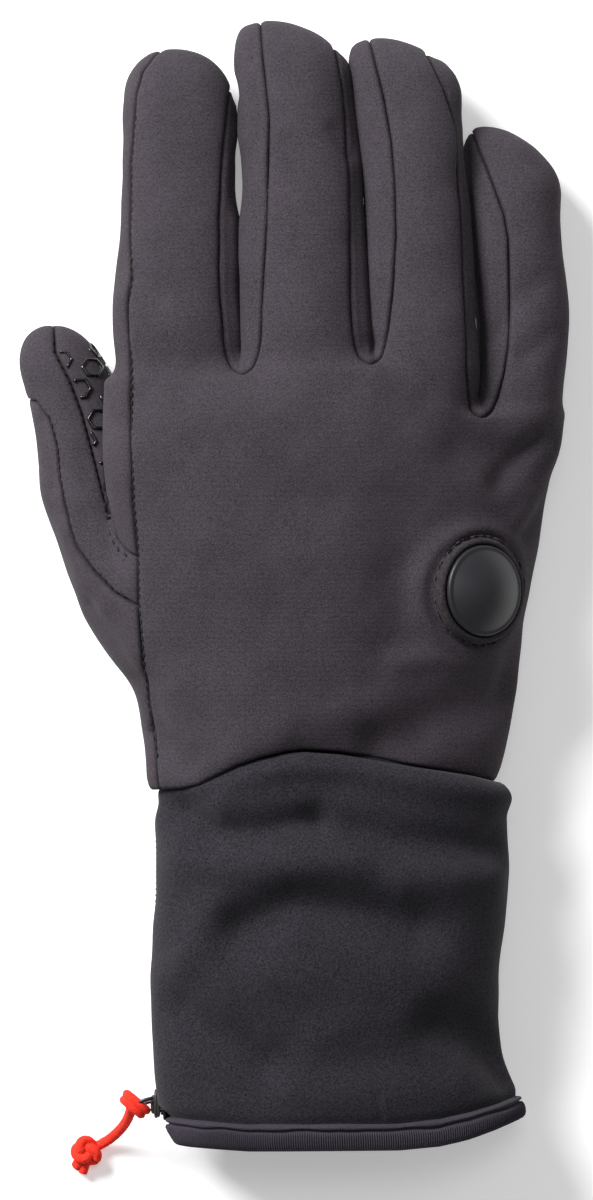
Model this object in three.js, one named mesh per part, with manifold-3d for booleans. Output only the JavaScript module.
// A heated softshell glove for the right hand, lying palm down on a table.
// Millimetres. +X points to the little finger, +Y to the fingertips, +Z away from the table.
// The origin is on the table, under the middle of the glove without its pull cord.

import * as THREE from "three";
import { LoftGeometry } from "three/addons/geometries/LoftGeometry.js";
import { mergeVertices } from "three/addons/utils/BufferGeometryUtils.js";
import Module from "manifold-3d";

// Cloth
const WALL = 2.4; // softshell with its padding
const SEAM = 0.3; // gap between two sewn panels
const FINGER_GAP = 0.9; // free space between two fingers

// Hand, from the wrist seam to the crotch between index and middle finger
const HAND_LENGTH = 102;
const HAND_HEIGHT = 46;
const WRIST_Y = -48.5; // wrist seam at the edges of the glove
const LEFT_EDGE_X = -43.5; // thumb side of the index finger
const BACK_ROUND = 2.1; // exponent of the arch of the back, where 2 is an ellipse

// Fingers. length is measured past the crotch line, dome is the length of the rounded end,
// and lean moves the fingertip to the thumb side. root is the height of the finger's middle
// at the crotch, a share of HAND_HEIGHT. from and to are the angles of the two seams of the
// back panel, in degrees from straight up, positive to the little finger.
const FINGERS = [
  { width: 27.8, height: 21, length: 80.5, dome: 13.5, lean: 0, root: 0.61, from: -50, to: 49 },
  { width: 27.8, height: 22, length: 87.2, dome: 12, lean: 3, root: 0.655, from: -28, to: 66 },
  { width: 27.2, height: 21, length: 82.8, dome: 13, lean: 6, root: 0.62, from: -17, to: 72 },
  { width: 24.6, height: 19.2, length: 61.2, dome: 18, lean: 6.5, root: 0.45, from: -8, to: 100 },
];
const FINGER_OVERLAP = 16; // how far a finger's tube starts inside the hand
const FINGER_START = 0.8; // its width there, as a share of the width at the crotch
const FINGER_TAPER = 0.97; // its width before the dome, as a share of the same
const FINGER_ROUND = 2.2;

// Crotches, with their offset from the crotch line. webWidth and webLength are the half axes
// of the U that the side strip shows there, and webShift moves it to the little finger.
const CROTCHES = [
  { name: "index_middle", offset: 0, webWidth: 6, webLength: 11.5, webShift: 2.4 },
  { name: "middle_ring", offset: 2.5, webWidth: 7.2, webLength: 13.5, webShift: 3 },
  { name: "ring_little", offset: -11.5, webWidth: 7.6, webLength: 15, webShift: 3.2 },
];
const WEB_DEPTH = 1; // cloth of the side strip on the hand's side of the crotch
const STRIP_START = 0.75; // where a strip's straight part starts, a share of webLength
const STRIP_ANGLE = 78; // how far a side strip reaches round its finger, in degrees

// Sections of the hand. along is a share of HAND_LENGTH from the wrist seam, left and right of
// the knuckles' width from the hand's middle, and the heights of HAND_HEIGHT. top and sole are
// measured from the line between the two edges, and flat is the exponent of the sole.
const HAND = [
  { along: 0, left: -0.436, right: 0.361, leftZ: 0.41, rightZ: 0.37, top: 0.45, sole: 0.4, flat: 2.6 },
  { along: 0.22, left: -0.466, right: 0.397, leftZ: 0.41, rightZ: 0.33, top: 0.525, sole: 0.4, flat: 2.8 },
  { along: 0.39, left: -0.48, right: 0.417, leftZ: 0.46, rightZ: 0.31, top: 0.565, sole: 0.42, flat: 2.8 },
  { along: 0.585, left: -0.509, right: 0.449, leftZ: 0.54, rightZ: 0.31, top: 0.56, sole: 0.44, flat: 2.6 },
  { along: 0.76, left: -0.518, right: 0.479, leftZ: 0.63, rightZ: 0.33, top: 0.51, sole: 0.4, flat: 2 },
  { along: 0.91, left: -0.512, right: 0.497, leftZ: 0.65, rightZ: 0.37, top: 0.435, sole: 0.3, flat: 2 },
  { along: 1, left: -0.5, right: 0.498, leftZ: 0.64, rightZ: 0.41, top: 0.33, sole: 0.23, flat: 2 },
  { along: 1.055, left: -0.47, right: 0.465, leftZ: 0.63, rightZ: 0.42, top: 0.22, sole: 0.17, flat: 2 },
];
const SLANT_FROM = 0.62; // share of HAND_LENGTH past which the sections follow the crotches
const BACK_FROM = -68; // angles of the back panel's seams on the hand
const BACK_TO = 100;

// Thumb, from its base inside the hand to its tip. along is a share of THUMB_LENGTH, across and
// width of THUMB_WIDTH, and the heights of THUMB_HEIGHT.
const THUMB_LENGTH = 93;
const THUMB_WIDTH = 30;
const THUMB_HEIGHT = 30;
const THUMB_BASE = 0.2; // where its tube starts, a share of HAND_LENGTH
const THUMB_INSET = 3.5; // where across is measured from, inside the index finger's edge
const THUMB_ROUND = 2.15;
const THUMB = [
  { along: 0, across: 0.58, width: 0.86, raise: 0.6, height: 0.96 },
  { along: 0.1, across: 0.285, width: 1, raise: 0.58, height: 1.04 },
  { along: 0.21, across: 0.083, width: 1.03, raise: 0.54, height: 1.04 },
  { along: 0.32, across: -0.05, width: 1, raise: 0.5, height: 1 },
  { along: 0.425, across: -0.2, width: 0.93, raise: 0.47, height: 0.93 },
  { along: 0.53, across: -0.34, width: 0.9, raise: 0.43, height: 0.86 },
  { along: 0.64, across: -0.383, width: 0.85, raise: 0.405, height: 0.81 },
  { along: 0.747, across: -0.458, width: 0.817, raise: 0.385, height: 0.77 },
  { along: 0.855, across: -0.575, width: 0.75, raise: 0.36, height: 0.72 },
  { along: 0.909, across: -0.633, width: 0.62, raise: 0.345, height: 0.62 },
  { along: 0.96, across: -0.7, width: 0.45, raise: 0.34, height: 0.46 },
  { along: 0.987, across: -0.725, width: 0.27, raise: 0.335, height: 0.28 },
  { along: 1, across: -0.735, width: 0.1, raise: 0.335, height: 0.1 },
];
const THUMB_WEB = 0.47; // where the thumb leaves the hand, a share of THUMB_LENGTH
const THUMB_GUSSET = 0.735; // top of the outer gusset, a share of THUMB_LENGTH
const GRIP_FROM = 5; // angles of the thumb's seams
const GRIP_TO = 182;
const GUSSET_TO = -40;

// Outline of the thumb's back panel between the web and the back of the hand, seen from above.
const SADDLE = [
  { along: 0.48, across: -0.58 },
  { along: 0.48, across: -0.24 },
  { along: 0.42, across: -0.18 },
  { along: 0.39, across: -0.12 },
  { along: 0.37, across: -0.02 },
  { along: 0.36, across: 0.25 },
  { along: 0.235, across: 0.25 },
  { along: 0.24, across: 0.02 },
  { along: 0.28, across: -0.175 },
  { along: 0.336, across: -0.35 },
  { along: 0.4, across: -0.48 },
];
const SADDLE_FLOOR = 0.47; // lowest height that the saddle reaches, a share of THUMB_HEIGHT

// Cuff, from the wrist seam down. Shares of CUFF_LENGTH, CUFF_WIDTH and CUFF_HEIGHT.
const CUFF_LENGTH = 86;
const CUFF_WIDTH = 90;
const CUFF_HEIGHT = 41;
const CUFF_ROUND = 2.3;
const CUFF_FLAT = 2.7;
const CUFF = [
  { down: 0, left: -0.47, right: 0.491, leftZ: 0.46, rightZ: 0.41, top: 0.49, sole: 0.45 },
  { down: 0.1, left: -0.472, right: 0.507, leftZ: 0.45, rightZ: 0.42, top: 0.55, sole: 0.47 },
  { down: 0.25, left: -0.47, right: 0.505, leftZ: 0.45, rightZ: 0.42, top: 0.56, sole: 0.47 },
  { down: 0.64, left: -0.481, right: 0.474, leftZ: 0.45, rightZ: 0.42, top: 0.52, sole: 0.46 },
  { down: 0.81, left: -0.476, right: 0.491, leftZ: 0.45, rightZ: 0.42, top: 0.5, sole: 0.46 },
  { down: 0.92, left: -0.47, right: 0.532, leftZ: 0.45, rightZ: 0.42, top: 0.5, sole: 0.46 },
  { down: 1, left: -0.468, right: 0.543, leftZ: 0.45, rightZ: 0.42, top: 0.49, sole: 0.46 },
];

// Height of the wrist seam over the back of the glove, in shares of CUFF_WIDTH, with across
// from -1 at the thumb's side to 1 at the little finger's.
const WRIST_SEAM = [
  { across: -1, rise: -0.036 },
  { across: -0.7, rise: -0.02 },
  { across: -0.6, rise: 0.005 },
  { across: -0.35, rise: 0.055 },
  { across: -0.12, rise: 0.074 },
  { across: 0.3, rise: 0.05 },
  { across: 0.65, rise: 0.022 },
  { across: 1, rise: -0.014 },
];

// Ribbed binding of the cuff's mouth
const HEM_WIDTH = 6.5;
const HEM_PROUD = 0.8; // how far it stands out of the cuff
const HEM_RISE = 6; // how much higher it lies at the little finger's side
const HEM_RISE_FROM = 0.35; // across, where it begins to rise

// Power button: a round cap in a cloth collar, on a flat seat on the back of the hand
const BUTTON_RADIUS = 11.3;
const BUTTON_RIM = 2;
const BUTTON_DOME = 2.6;
const BUTTON_STEM = 8.6;
const BUTTON_FLANGE = 1.5;
const BUTTON_TRAVEL = 0.6;
const BUTTON_CLEARANCE = 0.35;
const BUTTON_ALONG = 0.464; // share of HAND_LENGTH
const BUTTON_ANGLE = 48; // its place on the arch, in degrees from straight up
const BUTTON_TILT = 36; // its lean to the little finger, in degrees
const COLLAR_WIDTH = 2.1;
const COLLAR_HEIGHT = 2.4;
const SEAT_HEIGHT = 1.2;
const SEAT_MARGIN = 0.8;

// Zip on the thumb's side of the cuff, open to its mouth
const ZIP_LENGTH = 78;
const ZIP_WIDTH = 8;
const ZIP_Z = 15;
const ZIP_TAPE = 1.2;
const TOOTH_PITCH = 3.4;
const TOOTH_LENGTH = 1.5;
const TOOTH_WIDTH = 4.2;
const TOOTH_HEIGHT = 1;
const SPINE_WIDTH = 1.4;
const SLIDER_WIDTH = 6.2;
const SLIDER_LENGTH = 7.5;
const SLIDER_HEIGHT = 1.8;
const WIRE_RADIUS = 0.5;
const WIRE_REACH = 4.4; // how far the bend of the wire loop is pulled off the slider
const WIRE_SPAN = 5; // between its two legs

// Pull cord, from the wire loop down to the table, with a hitch round the wire and an end knot.
// x and y are measured from the bend of the wire, and z from the table.
const CORD_RADIUS = 1.3;
const CORD_CLEARANCE = 0.3;
const CORD_POINTS = [
  [0.2, -0.7, 14.4],
  [-0.5, -2.5, 12.2],
  [-1.5, -4.4, 9.2],
  [-3.1, -6.4, 5.9],
  [-5.3, -8.4, 3.2],
  [-8.1, -10.1, 2],
  [-11.3, -11.7, 2.4],
];
const HITCH = { x: 0.4, y: -0.2, z: ZIP_Z, wide: 2.9, long: 3, deep: 3 };
const KNOT = { x: -10.9, y: -11.2, z: 3.6, wide: 4.2, long: 3.9, deep: 3.3 };
const TAILS = [
  { x: -14.5, y: -16.5 },
  { x: -12.1, y: -17.5 },
];

const SIDES = { hand: 28, finger: 14, thumb: 14, cuff: 28, round: 22, wire: 6, cord: 8 };
const HOLLOW_SIDES = { hand: 20, finger: 10, thumb: 10 };
const FAR = 400; // past everything

const { lerp, clamp, smoothstep, degToRad } = THREE.MathUtils;
const KNUCKLES = FINGERS.reduce((sum, finger) => sum + finger.width + FINGER_GAP, -FINGER_GAP);
const MIDDLE_X = LEFT_EDGE_X + KNUCKLES / 2;
const CROTCH_Y = WRIST_Y + HAND_LENGTH;
const MOUTH_Y = WRIST_Y - CUFF_LENGTH;
const CUFF_X = MIDDLE_X + (KNUCKLES * (HAND[0].left + HAND[0].right)) / 2;

// Solids

const wasm = await Module();
wasm.setup();

function solid(geometry) {
  const bare = new THREE.BufferGeometry();
  bare.setAttribute("position", geometry.getAttribute("position"));
  bare.setIndex(geometry.getIndex());
  const merged = mergeVertices(bare, 1e-4);
  const index = merged.getIndex().array;
  const triangles = [];
  for (let i = 0; i < index.length; i += 3) {
    const [a, b, c] = [index[i], index[i + 1], index[i + 2]];
    if (a !== b && b !== c && c !== a) triangles.push(a, b, c);
  }
  const vertProperties = new Float32Array(merged.getAttribute("position").array);
  const build = (triVerts) => new wasm.Manifold(new wasm.Mesh({ numProp: 3, vertProperties, triVerts }));
  const body = build(new Uint32Array(triangles));
  return body.volume() > 0 ? body : build(new Uint32Array(triangles.reverse()));
}

const join = (solids) => solids.reduce((sum, piece) => sum.add(piece));

// The main piece of a cut, without the slivers beside it.
function largest(body) {
  return body.decompose().reduce((best, piece) => (piece.volume() > best.volume() ? piece : best));
}

function geometryOf(body) {
  const { vertProperties, triVerts } = body.getMesh();
  const geometry = new THREE.BufferGeometry();
  geometry.setAttribute("position", new THREE.BufferAttribute(vertProperties, 3));
  geometry.setIndex(new THREE.BufferAttribute(triVerts, 1));
  geometry.computeVertexNormals();
  return geometry;
}

function block({ x = [-FAR, FAR], y = [-FAR, FAR], z = [-FAR, FAR] }) {
  const geometry = new THREE.BoxGeometry(x[1] - x[0], y[1] - y[0], z[1] - z[0]);
  geometry.translate((x[0] + x[1]) / 2, (y[0] + y[1]) / 2, (z[0] + z[1]) / 2);
  return solid(geometry);
}

// A vertical prism over a plan outline.
function prism(shape, z = [-FAR, FAR]) {
  const depth = z[1] - z[0];
  const geometry = new THREE.ExtrudeGeometry(shape, { depth, bevelEnabled: false, curveSegments: 8 });
  geometry.translate(0, 0, z[0]);
  return solid(geometry);
}

const outline = (points) => new THREE.Shape(points.map(([x, y]) => new THREE.Vector2(x, y)));

function roundTube(route, radius, sides, steps) {
  const corners = Array.from({ length: sides }, (_, i) => {
    const angle = (i / sides) * 2 * Math.PI;
    return [radius * Math.cos(angle), radius * Math.sin(angle)];
  });
  return solid(new THREE.ExtrudeGeometry(outline(corners), { steps, extrudePath: route }));
}

function ball({ x, y, z, wide, long, deep }, grow = 0) {
  const geometry = new THREE.SphereGeometry(1, 12, 8);
  geometry.scale(wide + grow, long + grow, deep + grow);
  geometry.translate(x, y, z);
  return solid(geometry);
}

// Sections: a row holds y, left, right, leftZ, rightZ, top, sole, arch and flat, and may hold
// shift, which moves a point along the glove. Angles run from straight up to the little finger.

function sectionPoint(row, angle, inset, reach = 1) {
  const [sine, cosine] = [Math.sin(angle), Math.cos(angle)];
  const power = 2 / (cosine >= 0 ? row.arch : row.flat);
  const across = Math.sign(sine) * Math.abs(sine) ** power;
  const up = Math.sign(cosine) * Math.abs(cosine) ** power;
  const halfWidth = Math.max((row.right - row.left) / 2 - inset, 0.2);
  const height = Math.max((cosine >= 0 ? row.top : row.sole) - inset, 0.2);
  const x = (row.left + row.right) / 2 + halfWidth * across * reach;
  const z = lerp(row.leftZ, row.rightZ, (1 + across) / 2) + height * up * reach;
  const y = row.y + (row.shift ? row.shift(x) : 0);
  return new THREE.Vector3(x, y, reach > 1 ? z : Math.max(z, inset));
}

const loft = (sections) => solid(new LoftGeometry(sections, { capStart: true, capEnd: true }));

function tube(rows, sides, inset = 0) {
  const angles = Array.from({ length: sides }, (_, i) => (i / sides) * 2 * Math.PI);
  return loft(rows.map((row) => angles.map((angle) => sectionPoint(row, angle, inset))));
}

// A wedge of a tube between two angles, from its middle line out past its surface.
function wedge(rows, from, to, grow = 0) {
  const steps = 5;
  return loft(
    rows.map((row) => {
      const spread = grow / ((row.right - row.left) / 2);
      const rim = Array.from({ length: steps + 1 }, (_, i) => {
        const angle = lerp(degToRad(from) - spread, degToRad(to) + spread, i / steps);
        return sectionPoint({ ...row, shift: null }, angle, 0, 1.6);
      });
      const middleX = (row.left + row.right) / 2;
      return [new THREE.Vector3(middleX, row.y, (row.leftZ + row.rightZ) / 2), ...rim];
    }),
  );
}

// A row past one end of a tube, which opens a hollow there or carries a region on.
const beyond = (row, distance) => ({ ...row, y: row.y + distance, shift: null });

// The row at a place between the rows of a table.
function rowAt(rows, y) {
  const i = clamp(rows.findIndex((row) => row.y >= y), 1, rows.length - 1);
  const [a, b] = [rows[i - 1], rows[i]];
  const share = (y - a.y) / (b.y - a.y);
  const numbers = Object.keys(a).filter((key) => typeof a[key] === "number");
  return Object.fromEntries(numbers.map((key) => [key, lerp(a[key], b[key], share)]));
}

// Curves of the wrist seam, the cuff's mouth and the crotches

const acrossCuff = (x) => clamp((x - CUFF_X) / (CUFF_WIDTH / 2), -1, 1);

// The hand's side of the wrist seam, which arches over the back and is straight on the palm.
function handSide(gap) {
  const region = (stops, z) => {
    const points = stops.map(({ across, rise }) => {
      return new THREE.Vector2(CUFF_X + (across * CUFF_WIDTH) / 2, WRIST_Y - gap + rise * CUFF_WIDTH);
    });
    const line = new THREE.SplineCurve(points).getPoints(4 * points.length);
    const ends = [[-FAR, points[0].y], [FAR, points.at(-1).y]];
    const curve = line.map(({ x, y }) => [x, y]);
    return prism(outline([[-FAR, FAR], ends[0], ...curve, ends[1], [FAR, FAR]]), z);
  };
  const z = ((HAND[0].leftZ + HAND[0].rightZ) / 2) * HAND_HEIGHT;
  const palmLine = [WRIST_SEAM[0], WRIST_SEAM.at(-1)];
  return region(WRIST_SEAM, [z, FAR]).add(region(palmLine, [-FAR, z]));
}

function hemRise(x) {
  return HEM_RISE * Math.max((acrossCuff(x) - HEM_RISE_FROM) / (1 - HEM_RISE_FROM), 0) ** 2;
}

// The hand's side of the line where the cuff meets its binding.
function cuffSide(gap) {
  const steps = 16;
  const curve = Array.from({ length: steps + 1 }, (_, i) => {
    const x = CUFF_X + lerp(0, CUFF_WIDTH, i / steps);
    return [x, MOUTH_Y - gap + hemRise(x)];
  });
  return prism(outline([[-FAR, FAR], [-FAR, curve[0][1]], ...curve, [FAR, curve.at(-1)[1]], [FAR, FAR]]));
}

const fingerCentres = [];
FINGERS.reduce((edge, finger) => {
  fingerCentres.push(edge + finger.width / 2);
  return edge + finger.width + FINGER_GAP;
}, LEFT_EDGE_X);
const gapX = CROTCHES.map((_, i) => fingerCentres[i] + (FINGERS[i].width + FINGER_GAP) / 2);

function crotchSlant(x) {
  const i = x < gapX[1] ? 1 : 2;
  const share = smoothstep(x, gapX[i - 1], gapX[i]);
  return lerp(CROTCHES[i - 1].offset, CROTCHES[i].offset, share);
}

// Rows of the hand, the digits and the cuff

const handRows = HAND.map((row) => ({
  y: WRIST_Y + row.along * HAND_LENGTH,
  left: MIDDLE_X + row.left * KNUCKLES,
  right: MIDDLE_X + row.right * KNUCKLES,
  leftZ: row.leftZ * HAND_HEIGHT,
  rightZ: row.rightZ * HAND_HEIGHT,
  top: row.top * HAND_HEIGHT,
  sole: row.sole * HAND_HEIGHT,
  arch: BACK_ROUND,
  flat: row.flat,
  shift: (x) => smoothstep(row.along, SLANT_FROM, 1) * crotchSlant(x),
}));

// Both run past the wrist seam, where they are cut.
const outerHandRows = [beyond(handRows[0], -HAND_LENGTH / 8), ...handRows];
const hollowHandRows = [
  beyond(handRows[0], -HAND_LENGTH / 4),
  ...handRows.slice(0, -2),
  ...handRows.slice(-2).map((row) => ({ ...row, y: row.y - WALL })),
];

// With region, the tube keeps its width at the dome and runs on past the tip, to cut panels.
function fingerRows(i, inset, region = false) {
  const finger = FINGERS[i];
  const straight = finger.length - finger.dome;
  const beside = CROTCHES.slice(Math.max(i - 1, 0), i + 1).map(({ offset }) => offset);
  const root = Math.min(...beside);
  const row = (along, scale, lean) => {
    const share = clamp(along / finger.length, 0, 1);
    const half = (finger.width / 2) * lerp(1, FINGER_TAPER, share) * scale;
    const height = (finger.height / 2) * scale;
    const z = lerp(finger.root * HAND_HEIGHT, finger.height / 2, share ** 1.5);
    const x = fingerCentres[i] - lean;
    return {
      y: CROTCH_Y + along,
      left: x - half,
      right: x + half,
      leftZ: z,
      rightZ: z,
      top: height,
      sole: height,
      arch: FINGER_ROUND,
      flat: FINGER_ROUND,
    };
  };
  const start = row(root - FINGER_OVERLAP, FINGER_START, 0);
  const body = [0, 0.5, 1].map((share) => row(lerp(root, straight, share), 1, 0));
  const dome = [32, 58, 80].map((degrees) => {
    const angle = degToRad(degrees);
    const along = straight + (finger.dome - inset) * Math.sin(angle);
    return row(along, region ? 1 : Math.cos(angle), finger.lean * Math.sin(angle) ** 2);
  });
  const end = region ? [row(finger.length + finger.dome, 1, finger.lean)] : [];
  return [start, ...body, ...dome, ...end];
}

const thumbPlace = ({ along, across }) => [
  LEFT_EDGE_X + THUMB_INSET + across * THUMB_WIDTH,
  WRIST_Y + THUMB_BASE * HAND_LENGTH + along * THUMB_LENGTH,
];
const thumbY = (along) => thumbPlace({ along, across: 0 })[1];

function thumbRows(inset) {
  return THUMB.map((row) => {
    const [x, y] = thumbPlace(row);
    const half = (row.width * THUMB_WIDTH) / 2;
    const height = (row.height * THUMB_HEIGHT) / 2;
    const z = row.raise * THUMB_HEIGHT;
    return {
      y: y - inset * smoothstep(row.along, 0.8, 1),
      left: x - half,
      right: x + half,
      leftZ: z,
      rightZ: z,
      top: height,
      sole: height,
      arch: THUMB_ROUND,
      flat: THUMB_ROUND,
    };
  });
}

// From the mouth up, as every tube runs to the fingertips.
const cuffRows = CUFF.map((row) => ({
  y: WRIST_Y - row.down * CUFF_LENGTH,
  left: CUFF_X + row.left * CUFF_WIDTH,
  right: CUFF_X + row.right * CUFF_WIDTH,
  leftZ: row.leftZ * CUFF_HEIGHT,
  rightZ: row.rightZ * CUFF_HEIGHT,
  top: row.top * CUFF_HEIGHT,
  sole: row.sole * CUFF_HEIGHT,
  arch: CUFF_ROUND,
  flat: CUFF_FLAT,
})).reverse();

// Power button, made about its own upright axis and then leaned into place

const buttonRow = rowAt(handRows, WRIST_Y + BUTTON_ALONG * HAND_LENGTH);
const buttonPlace = new THREE.Matrix4()
  .makeRotationY(degToRad(BUTTON_TILT))
  .setPosition(sectionPoint(buttonRow, degToRad(BUTTON_ANGLE), 0));
const collarRadius = BUTTON_RADIUS + BUTTON_CLEARANCE + COLLAR_WIDTH;
const holeRadius = BUTTON_STEM + BUTTON_CLEARANCE;
const flangeRadius = holeRadius + BUTTON_FLANGE;

function turned(profile) {
  const points = profile.map(([radius, height]) => new THREE.Vector2(radius, height));
  const geometry = new THREE.LatheGeometry(points, SIDES.round);
  return solid(geometry.rotateX(Math.PI / 2).applyMatrix4(buttonPlace));
}

function buttonSeat() {
  const radius = collarRadius + SEAT_MARGIN;
  return turned([[0, -WALL], [radius, -WALL], [radius, SEAT_HEIGHT], [0, SEAT_HEIGHT]]);
}

// The hole for the stem, with a flat pocket under the cloth for the flange.
function buttonHole() {
  const pocket = flangeRadius + BUTTON_CLEARANCE;
  const deep = -3 * WALL;
  return turned([
    [0, deep],
    [pocket, deep],
    [pocket, -WALL],
    [holeRadius, -WALL],
    [holeRadius, WALL],
    [0, WALL],
  ]);
}

function buttonCap() {
  const under = SEAT_HEIGHT + SEAM + BUTTON_TRAVEL;
  const rim = under + BUTTON_RIM;
  const dome = [0, 20, 40, 60, 75].map((degrees) => {
    const angle = degToRad(degrees);
    return [BUTTON_RADIUS * Math.cos(angle), rim + BUTTON_DOME * Math.sin(angle)];
  });
  return turned([
    [0, -WALL - SEAM - BUTTON_FLANGE],
    [flangeRadius, -WALL - SEAM - BUTTON_FLANGE],
    [flangeRadius, -WALL - SEAM],
    [BUTTON_STEM, -WALL - SEAM],
    [BUTTON_STEM, under],
    [BUTTON_RADIUS, under],
    ...dome,
    [0, rim + BUTTON_DOME],
  ]);
}

function buttonRing() {
  const inner = BUTTON_RADIUS + BUTTON_CLEARANCE;
  const low = SEAT_HEIGHT + SEAM;
  const round = [0, 45, 90, 135, 180].map((degrees) => {
    const angle = degToRad(degrees);
    const radius = inner + (COLLAR_WIDTH / 2) * (1 + Math.cos(angle));
    return [radius, low + COLLAR_HEIGHT + (COLLAR_WIDTH / 2) * (Math.sin(angle) - 1)];
  });
  return turned([[inner, low], [collarRadius, low], ...round, [inner, low]]);
}

// Panels of the hand

function seamRegions(grow) {
  const backOfHand = outline([
    [-FAR, -FAR],
    [FAR, -FAR],
    [FAR, CROTCH_Y + CROTCHES[2].offset],
    ...gapX.map((x, i) => [x, CROTCH_Y + CROTCHES[i].offset]).reverse(),
    [-FAR, CROTCH_Y + CROTCHES[0].offset],
  ]);
  const whole = [beyond(handRows[0], -FAR), ...handRows, beyond(handRows.at(-1), FAR)];
  const hand = wedge(whole, BACK_FROM, BACK_TO, grow).intersect(prism(backOfHand));
  const slabs = FINGERS.map((_, i) => block({ x: [gapX[i - 1] ?? -FAR, gapX[i] ?? FAR] }));
  const onFinger = (i, from, to) => wedge(fingerRows(i, 0, true), from, to, grow).intersect(slabs[i]);

  const stripStart = ({ offset, webLength }) => CROTCH_Y + offset + STRIP_START * webLength;
  const besideWebs = CROTCHES.map((crotch, i) => {
    const [to, from] = [FINGERS[i].to, FINGERS[i + 1].from];
    const low = block({ y: [-FAR, stripStart(crotch)] });
    return onFinger(i, 0, Math.max(to, 90)).add(onFinger(i + 1, Math.min(from, -90), 0)).intersect(low);
  });
  const webs = CROTCHES.map((crotch, i) => {
    const shape = new THREE.Shape();
    const y = CROTCH_Y + crotch.offset - WEB_DEPTH + crotch.webLength;
    const [halfWidth, halfLength] = [crotch.webWidth + grow, crotch.webLength + grow];
    shape.absellipse(gapX[i] + crotch.webShift, y, halfWidth, halfLength, 0, 2 * Math.PI);
    return prism(shape);
  });
  const strips = CROTCHES.map((crotch, i) => {
    const [to, from] = [FINGERS[i].to, FINGERS[i + 1].from];
    const sides = onFinger(i, to, to + STRIP_ANGLE).add(onFinger(i + 1, from - STRIP_ANGLE, from));
    return sides.intersect(block({ y: [stripStart(crotch) - grow, FAR] }));
  });

  const digit = thumbRows(0);
  digit.push(beyond(digit.at(-1), WALL));
  const skin = tube(digit, SIDES.thumb, -SEAM - grow);
  const above = (share) => skin.intersect(block({ y: [thumbY(share) - grow, FAR] }));
  return {
    back: join([hand, ...besideWebs, ...FINGERS.map(({ from, to }, i) => onFinger(i, from, to))]),
    webs,
    strips,
    grip: wedge(digit, GRIP_FROM, GRIP_TO, grow).intersect(above(THUMB_WEB)),
    thumbBack: join([
      wedge(digit, GRIP_TO - 360, GRIP_FROM, grow).intersect(above(THUMB_GUSSET)),
      wedge(digit, GUSSET_TO, GRIP_FROM, grow).intersect(above(THUMB_WEB)),
      prism(outline(SADDLE.map(thumbPlace)), [SADDLE_FLOOR * THUMB_HEIGHT, FAR]),
    ]),
  };
}

function handPanels() {
  const outer = join([
    tube(outerHandRows, SIDES.hand),
    tube(thumbRows(0), SIDES.thumb),
    ...FINGERS.map((_, i) => tube(fingerRows(i, 0), SIDES.finger)),
    buttonSeat(),
  ]);
  const hollow = join([
    tube(hollowHandRows, HOLLOW_SIDES.hand, WALL),
    tube(thumbRows(WALL), HOLLOW_SIDES.thumb, WALL),
    ...FINGERS.map((_, i) => tube(fingerRows(i, WALL), HOLLOW_SIDES.finger, WALL)),
  ]);
  const shell = outer.subtract(hollow).subtract(buttonHole()).intersect(handSide(0));
  const at = seamRegions(0);
  const past = seamRegions(SEAM);
  const pastWebs = join(past.webs);
  const pastThumb = past.grip.add(past.thumbBack);
  const pastAll = join([past.back, pastWebs, ...past.strips, ...at.strips, pastThumb]);
  const sides = CROTCHES.map(({ name }, i) => {
    const strip = at.webs[i].add(at.strips[i].subtract(past.back));
    return [`fourchette_${name}`, shell.intersect(strip).subtract(pastThumb)];
  });
  return {
    back_panel: shell.intersect(at.back).subtract(pastWebs).subtract(past.grip),
    palm_panel: shell.subtract(pastAll),
    thumb_grip: shell.intersect(at.grip).subtract(past.back),
    thumb_back: shell.intersect(at.thumbBack).subtract(past.back).subtract(past.grip),
    ...Object.fromEntries(sides),
  };
}

// Cuff, binding and zip

// A layer of the cuff between two depths below its surface.
function cuffLayer(outside, inside) {
  const skin = [beyond(cuffRows[0], -HEM_WIDTH), ...cuffRows, beyond(cuffRows.at(-1), CUFF_LENGTH / 8)];
  const bore = [beyond(skin[0], -CUFF_LENGTH), ...cuffRows, beyond(skin.at(-1), CUFF_LENGTH)];
  const layer = tube(skin, SIDES.cuff, outside).subtract(tube(bore, SIDES.cuff, inside));
  return layer.subtract(handSide(SEAM)).intersect(cuffSide(0));
}

// The thumb's side of such a layer, as wide as given and between two places along the cuff.
function sideBand(outside, inside, width, y) {
  const z = [ZIP_Z - width / 2, ZIP_Z + width / 2];
  return cuffLayer(outside, inside).intersect(block({ x: [-FAR, CUFF_X], y, z }));
}

const zipTop = MOUTH_Y + ZIP_LENGTH;
const tapeDepth = WALL - ZIP_TAPE;
const teethDepth = tapeDepth - SEAM - TOOTH_HEIGHT;
const sliderDepth = teethDepth - SEAM - SLIDER_HEIGHT;
const sliderY = [MOUTH_Y + SEAM, MOUTH_Y + SEAM + SLIDER_LENGTH];

function cuff() {
  const z = [ZIP_Z - ZIP_WIDTH / 2 - SEAM, ZIP_Z + ZIP_WIDTH / 2 + SEAM];
  return cuffLayer(0, WALL).subtract(block({ x: [-FAR, CUFF_X], y: [-FAR, zipTop + SEAM], z }));
}

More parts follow.
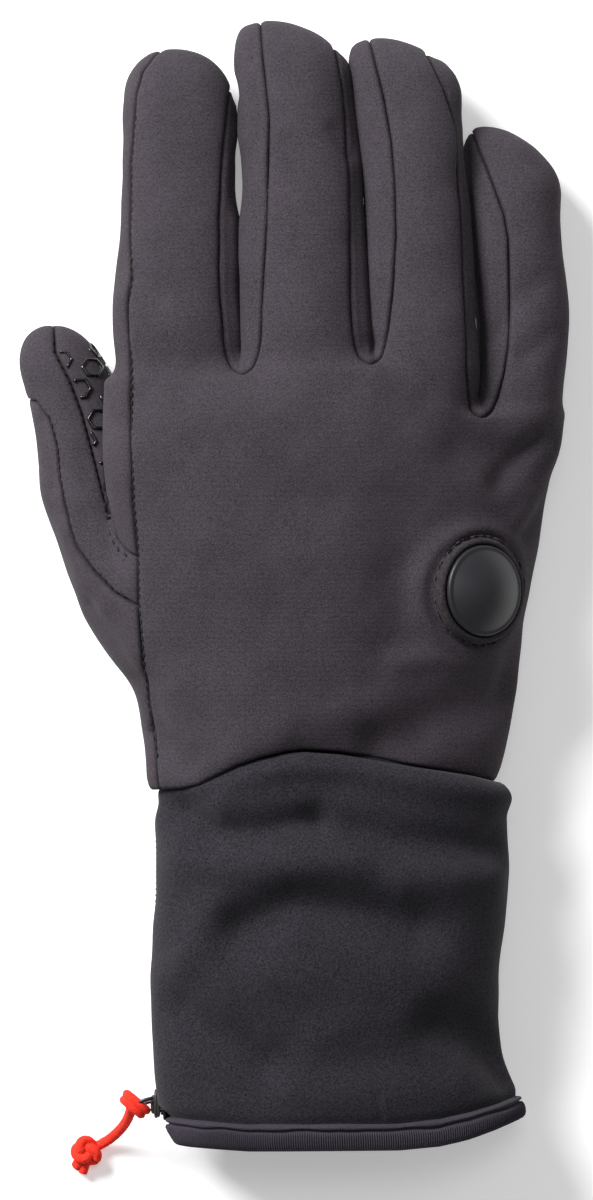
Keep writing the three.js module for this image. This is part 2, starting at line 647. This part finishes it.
function hemBinding() {
  const mouth = cuffRows[0];
  const row = (down, proud) => ({
    ...mouth,
    shift: hemRise,
    y: MOUTH_Y - SEAM - down,
    left: mouth.left - proud,
    right: mouth.right + proud,
    top: mouth.top + proud,
    sole: mouth.sole + proud,
  });
  const roll = HEM_PROUD;
  const rows = [row(HEM_WIDTH, 0), row(HEM_WIDTH - roll, roll), row(roll, roll), row(-roll, 0)];
  const bore = tube([beyond(mouth, -CUFF_LENGTH), beyond(mouth, CUFF_LENGTH)], SIDES.cuff, WALL);
  return tube(rows, SIDES.cuff).subtract(bore).subtract(cuffSide(SEAM));
}

const zipTape = () => sideBand(tapeDepth, WALL, ZIP_WIDTH, [MOUTH_Y, zipTop]);

function zipTeeth() {
  const count = Math.floor((ZIP_LENGTH - TOOTH_LENGTH) / TOOTH_PITCH);
  const first = MOUTH_Y + TOOTH_LENGTH;
  const bar = (y, width) => {
    const z = [ZIP_Z - width / 2, ZIP_Z + width / 2];
    return block({ x: [-FAR, CUFF_X], y, z });
  };
  const bars = Array.from({ length: count }, (_, i) => {
    const start = first + i * TOOTH_PITCH;
    return bar([start, start + TOOTH_LENGTH], TOOTH_WIDTH);
  });
  const spine = bar([first, first + (count - 1) * TOOTH_PITCH], SPINE_WIDTH);
  const band = sideBand(teethDepth, tapeDepth - SEAM, TOOTH_WIDTH, [MOUTH_Y, zipTop]);
  return band.intersect(join([spine, ...bars]));
}

const zipSlider = () => sideBand(sliderDepth, teethDepth - SEAM, SLIDER_WIDTH, sliderY);

// The loop stands off the slider's outer face, with its two legs one above the other.
function zipWire() {
  const x = zipSlider().boundingBox().min[0] - SEAM;
  const y = (sliderY[0] + sliderY[1]) / 2;
  const low = new THREE.Vector3(x, y, ZIP_Z - WIRE_SPAN / 2);
  const high = new THREE.Vector3(x, y, ZIP_Z + WIRE_SPAN / 2);
  const pull = new THREE.Vector3(-WIRE_REACH, 0, 0);
  const route = new THREE.CubicBezierCurve3(low, low.clone().add(pull), high.clone().add(pull), high);
  return roundTube(route, WIRE_RADIUS, SIDES.wire, 8);
}

// Pull cord

const wire = zipWire();
const { min: wireMin, max: wireMax } = wire.boundingBox();
const fromWire = ([x, y, z]) => new THREE.Vector3(wireMin[0] + x, (wireMin[1] + wireMax[1]) / 2 + y, z);
const lump = (size, grow = 0) => ball({ ...size, ...fromWire([size.x, size.y, size.z]) }, grow);

function pullCord() {
  const route = new THREE.CatmullRomCurve3(CORD_POINTS.map(fromWire));
  const cord = roundTube(route, CORD_RADIUS, SIDES.cord, 9);
  return cord.subtract(lump(HITCH, CORD_CLEARANCE)).subtract(lump(KNOT, CORD_CLEARANCE));
}

// The hitch grips the wire, and is open towards the slider.
function pullHitch() {
  const open = (axis) => [wireMin[axis] - SEAM, wireMax[axis] + SEAM];
  return lump(HITCH).subtract(block({ x: [wireMin[0] - SEAM, FAR], y: open(1), z: open(2) }));
}

function pullKnot() {
  const tails = TAILS.map(({ x, y }) => {
    const start = fromWire([KNOT.x, KNOT.y, KNOT.z]);
    const end = fromWire([x, y, CORD_RADIUS + SEAM]);
    return roundTube(new THREE.LineCurve3(start, end), CORD_RADIUS, SIDES.cord, 1);
  });
  return join([lump(KNOT), ...tails]);
}

// Materials

const FINISHES = {
  softshell: { color: 0x443e45, roughness: 0.86, metalness: 0 },
  grip_cloth: { color: 0x48434a, roughness: 0.8, metalness: 0 },
  fleece: { color: 0x36333a, roughness: 0.95, metalness: 0 },
  binding: { color: 0x3b373f, roughness: 0.9, metalness: 0 },
  zip_black: { color: 0x18181a, roughness: 0.55, metalness: 0 },
  wire_black: { color: 0x1c1c1e, roughness: 0.4, metalness: 0.6 },
  button_plastic: { color: 0x424148, roughness: 0.35, metalness: 0 },
  cord_orange: { color: 0xf04639, roughness: 0.8, metalness: 0 },
};

const panels = handPanels();
const fourchettes = CROTCHES.map(({ name }) => `fourchette_${name}`);
const pieces = [
  ["back_panel", "softshell", panels.back_panel],
  ["palm_panel", "grip_cloth", panels.palm_panel],
  ...fourchettes.map((name) => [name, "softshell", panels[name]]),
  ["thumb_back", "softshell", panels.thumb_back],
  ["thumb_grip", "grip_cloth", panels.thumb_grip],
  ["cuff", "fleece", cuff()],
  ["hem_binding", "binding", hemBinding()],
  ["zip_tape", "zip_black", zipTape()],
  ["zip_teeth", "zip_black", zipTeeth()],
  ["zip_slider", "zip_black", zipSlider()],
  ["zip_wire", "wire_black", wire],
  ["pull_hitch", "cord_orange", pullHitch()],
  ["pull_cord", "cord_orange", pullCord()],
  ["pull_knot", "cord_orange", pullKnot()],
  ["button_ring", "softshell", buttonRing()],
  ["button_cap", "button_plastic", buttonCap()],
];

const glove = new THREE.Group();
const bounds = new THREE.Box3();
pieces.forEach(([name, finish, body]) => {
  const mesh = new THREE.Mesh(geometryOf(largest(body)), new THREE.MeshStandardMaterial(FINISHES[finish]));
  mesh.name = name;
  if (finish !== "cord_orange") bounds.expandByObject(mesh);
  glove.add(mesh);
});
const middle = bounds.getCenter(new THREE.Vector3());
glove.position.set(-middle.x, -middle.y, -bounds.min.z);

export default glove;
